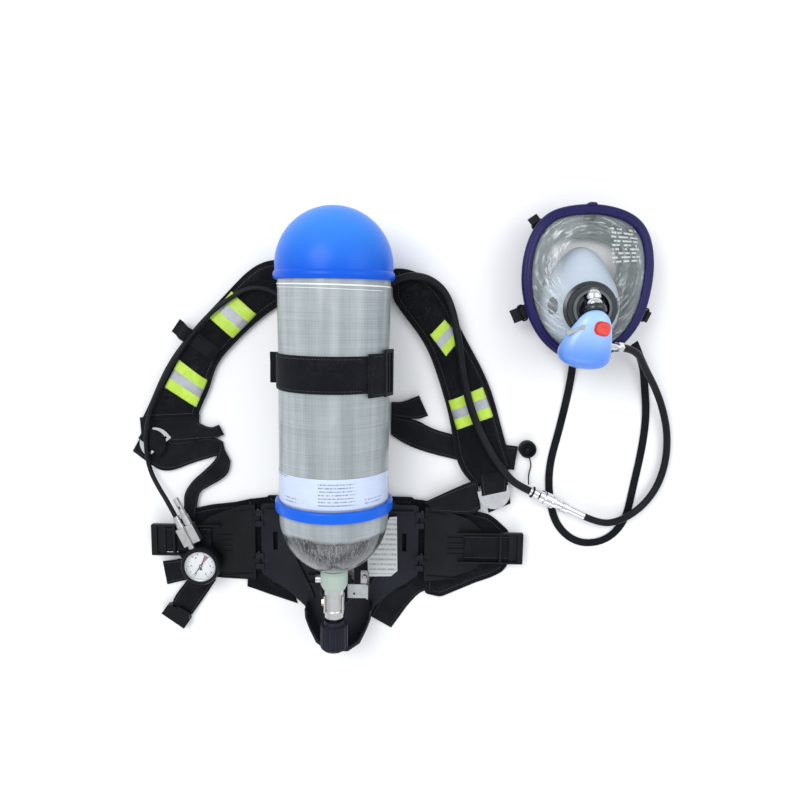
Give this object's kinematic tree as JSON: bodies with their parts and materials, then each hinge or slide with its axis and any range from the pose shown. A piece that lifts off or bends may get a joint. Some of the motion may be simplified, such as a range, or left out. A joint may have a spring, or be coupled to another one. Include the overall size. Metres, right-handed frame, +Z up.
{
  "type": "self-contained breathing apparatus",
  "caption": "Air pack with a composite cylinder on a hinged back plate, padded harness, pressure gauge, supply hose and full face mask.",
  "frame": {"origin": "on the floor under the cylinder axis, on the flat underside of the back plate", "axes": "+Z up from the floor, +Y towards the domed end of the cylinder, +X towards the face mask"},
  "size_m": [0.8511, 0.702, 0.1915],
  "materials": {
    "composite": "clear coated fibre winding",
    "liner_alloy": "plain",
    "blue_rubber": "satin",
    "pale_collar": "satin",
    "satin_nickel": "satin nickel plate",
    "brass": "satin",
    "steel": "satin",
    "ribbed_rubber": "satin",
    "black_plastic": "fine moulded grain",
    "plate_plastic": "fine moulded grain",
    "black_rubber": "matt",
    "pad_fabric": "woven nylon",
    "hi_vis_tape": "lime and silver tape",
    "webbing": "woven webbing",
    "chrome": "polished",
    "gauge_white": "printed dial",
    "clear_lens": "clear",
    "needle_black": "matt",
    "alloy": "bead blasted",
    "hose_rubber": "fine fabric cover",
    "violet_rubber": "satin",
    "clear_visor": "clear polycarbonate",
    "grey_silicone": "soft satin",
    "dark_plastic": "satin",
    "pale_blue_plastic": "satin",
    "red_plastic": "gloss"
  },
  "bodies": {
    "pack": {"back_plate": "plate_plastic", "band_buckle": "black_plastic", "burst_disc_plug": "brass", "coupling_plug": "chrome", "coupling_socket": "chrome", "cylinder_band": "webbing", "cylinder_liner": "liner_alloy", "cylinder_saddles": "black_rubber", "cylinder_wrap": "composite", "demand_hose": "hose_rubber", "demand_valve_body": "pale_blue_plastic", "dome_cap": "blue_rubber", "dust_cap": "black_rubber", "face_seal": "violet_rubber", "gauge_block": "alloy", "gauge_boot": "black_rubber", "gauge_case": "gauge_white", "gauge_hose": "hose_rubber", "gauge_hose_ferrule": "steel", "gauge_lens": "clear_lens", "harness_straps": "black_rubber", "hinge_pins": "steel", "hose_inlet_fitting": "chrome", "lumbar_pads": "pad_fabric", "neck_collar": "pale_collar", "neck_guard_ring": "blue_rubber", "neck_strap": "webbing", "nose_cup": "grey_silicone", "plate_screws": "steel", "port_housing": "dark_plastic", "port_ring": "chrome", "reducer_body": "satin_nickel", "reducer_bracket": "steel", "reflective_patches": "hi_vis_tape", "shoulder_adjusters": "chrome", "shoulder_pad_left": "pad_fabric", "shoulder_pad_right": "pad_fabric", "shoulder_webbing_left": "webbing", "shoulder_webbing_right": "webbing", "side_straps": "webbing", "supply_hose": "hose_rubber", "valve_body": "satin_nickel", "visor": "clear_visor", "visor_frame": "violet_rubber", "warning_whistle": "alloy"},
    "handwheel": {"valve_handwheel": "ribbed_rubber", "valve_spindle": "steel"},
    "hand_nut": {"reducer_hand_nut": "black_plastic"},
    "needle": {"gauge_needle": "needle_black"},
    "sleeve": {"coupling_sleeve": "chrome"},
    "button": {"bypass_button": "red_plastic"},
    "lever": {"lock_lever": "steel"},
    "hip_left": {"hip_plate_left": "black_plastic", "hip_pad_left": "pad_fabric", "waist_buckle_left": "black_plastic", "waist_strap_left": "webbing", "side_release_buckle": "black_plastic"},
    "hip_right": {"hip_plate_right": "black_plastic", "hip_pad_right": "pad_fabric", "waist_buckle_right": "black_plastic"}
  },
  "joints": [
    {"name": "handwheel_turn", "type": "hinge", "parent": "pack", "child": "handwheel", "pos_m": [0, -0.23, 0.107], "axis": [0, 1, 0], "range_deg": [0, 810]},
    {"name": "hand_nut_turn", "type": "hinge", "parent": "pack", "child": "hand_nut", "pos_m": [0, -0.18, 0.056], "axis": [0, 0, 1], "range_deg": [0, 1080]},
    {"name": "needle_sweep", "type": "hinge", "parent": "pack", "child": "needle", "pos_m": [-0.218, -0.156, 0.0355], "axis": [0, 0, -1], "range_deg": [0, 260]},
    {"name": "sleeve_pull", "type": "slide", "parent": "pack", "child": "sleeve", "axis": [-0.9085, 0.4179, 0], "range_m": [0, 0.006], "stiffness_N_per_m": 400, "springref_m": -0.003},
    {"name": "bypass_press", "type": "slide", "parent": "pack", "child": "button", "axis": [0, 0, -1], "range_m": [0, 0.003], "stiffness_N_per_m": 600, "springref_m": -0.001},
    {"name": "lever_swing", "type": "hinge", "parent": "pack", "child": "lever", "pos_m": [0.341, 0.231, 0.136], "axis": [0, 0, -1], "range_deg": [0, 35], "stiffness_Nm_per_rad": 0.02, "springref_deg": -11.46},
    {"name": "hip_left_fold", "type": "hinge", "parent": "pack", "child": "hip_left", "pos_m": [-0.131, -0.12, 0.0095], "axis": [0, -1, 0], "range_deg": [0, 60]},
    {"name": "hip_right_fold", "type": "hinge", "parent": "pack", "child": "hip_right", "pos_m": [0.131, -0.12, 0.0095], "axis": [0, 1, 0], "range_deg": [0, 60]}
  ]
}
